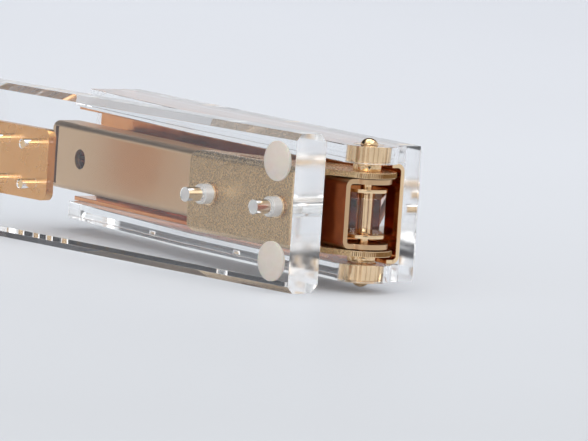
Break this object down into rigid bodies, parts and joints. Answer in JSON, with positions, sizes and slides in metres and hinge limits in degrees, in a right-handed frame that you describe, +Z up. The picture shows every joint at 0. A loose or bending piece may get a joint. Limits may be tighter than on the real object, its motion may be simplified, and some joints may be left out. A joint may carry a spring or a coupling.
{
  "type": "stapler",
  "caption": "Desk stapler with a clear acrylic base and arm and gold metal magazine, bracket and hinge pin, lying on its long side with arm and magazine raised at rest.",
  "frame": {"origin": "centre of the object's outline in plan, on the surface that the stapler lies on", "axes": "+X along the base plate from nose to heel, +Y from the feet to the arm, +Z up along the hinge pin. The stapler lies on the long side of its base plate; a turn of +90 degrees about X stands it on its feet."},
  "size_m": [0.1402, 0.054, 0.038],
  "materials": {
    "acrylic_base": "clear, polished acrylic",
    "acrylic_arm": "clear, polished acrylic",
    "acrylic_small": "clear, polished acrylic",
    "silicone": "frosted, slightly tacky",
    "gold_stippled": "gold plated sheet with a fine stipple",
    "gold_bright": "polished gold plating",
    "gold_satin": "satin gold plated sheet",
    "spring_steel": "gold tinted spring steel"
  },
  "bodies": {
    "base": {"base_plate": "acrylic_base", "foot_heel_upper": "silicone", "foot_heel_lower": "silicone", "foot_nose_upper": "silicone", "foot_nose_lower": "silicone", "base_bracket": "gold_stippled", "base_screws": "acrylic_small", "base_spacers": "acrylic_small", "base_washers": "gold_bright", "hinge_pin": "gold_bright", "hinge_sleeve": "gold_bright", "pin_cap": "gold_bright", "hinge_bush_upper": "gold_bright", "hinge_bush_lower": "gold_bright", "anvil_rivets": "gold_bright", "anvil_plate": "gold_satin", "hinge_block": "acrylic_arm", "lift_spring": "spring_steel"},
    "magazine": {"magazine_channel": "gold_satin", "magazine_front": "gold_satin", "staple_core": "gold_satin", "guide_rod": "spring_steel", "rod_stop": "spring_steel", "follower_spring": "spring_steel"},
    "pusher": {"pusher": "gold_satin"},
    "arm": {"arm_top_plate": "acrylic_arm", "arm_wall_upper": "acrylic_arm", "arm_wall_lower": "acrylic_arm", "arm_bush_upper": "gold_bright", "arm_bush_lower": "gold_bright", "arm_frame": "gold_satin", "frame_screws": "gold_bright", "driver_blade": "spring_steel", "arm_leaf_spring": "spring_steel"}
  },
  "joints": [
    {"name": "magazine_pivot", "type": "hinge", "parent": "base", "child": "magazine", "pos_m": [0.0629, -0.00231, 0.019], "axis": [0, 0, -1], "range_deg": [-8.6, 70], "stiffness_Nm_per_rad": 2, "deforming": ["lift_spring"]},
    {"name": "arm_swing", "type": "hinge", "parent": "magazine", "child": "arm", "pos_m": [0.0629, -0.00231, 0.019], "axis": [0, 0, -1], "range_deg": [-3.4, 80], "stiffness_Nm_per_rad": 0.8},
    {"name": "pusher_slide", "type": "slide", "parent": "magazine", "child": "pusher", "axis": [0.9925, -0.1219, 0], "range_m": [0, 0.08], "stiffness_N_per_m": 40, "springref_m": -0.03, "deforming": ["follower_spring"]}
  ]
}
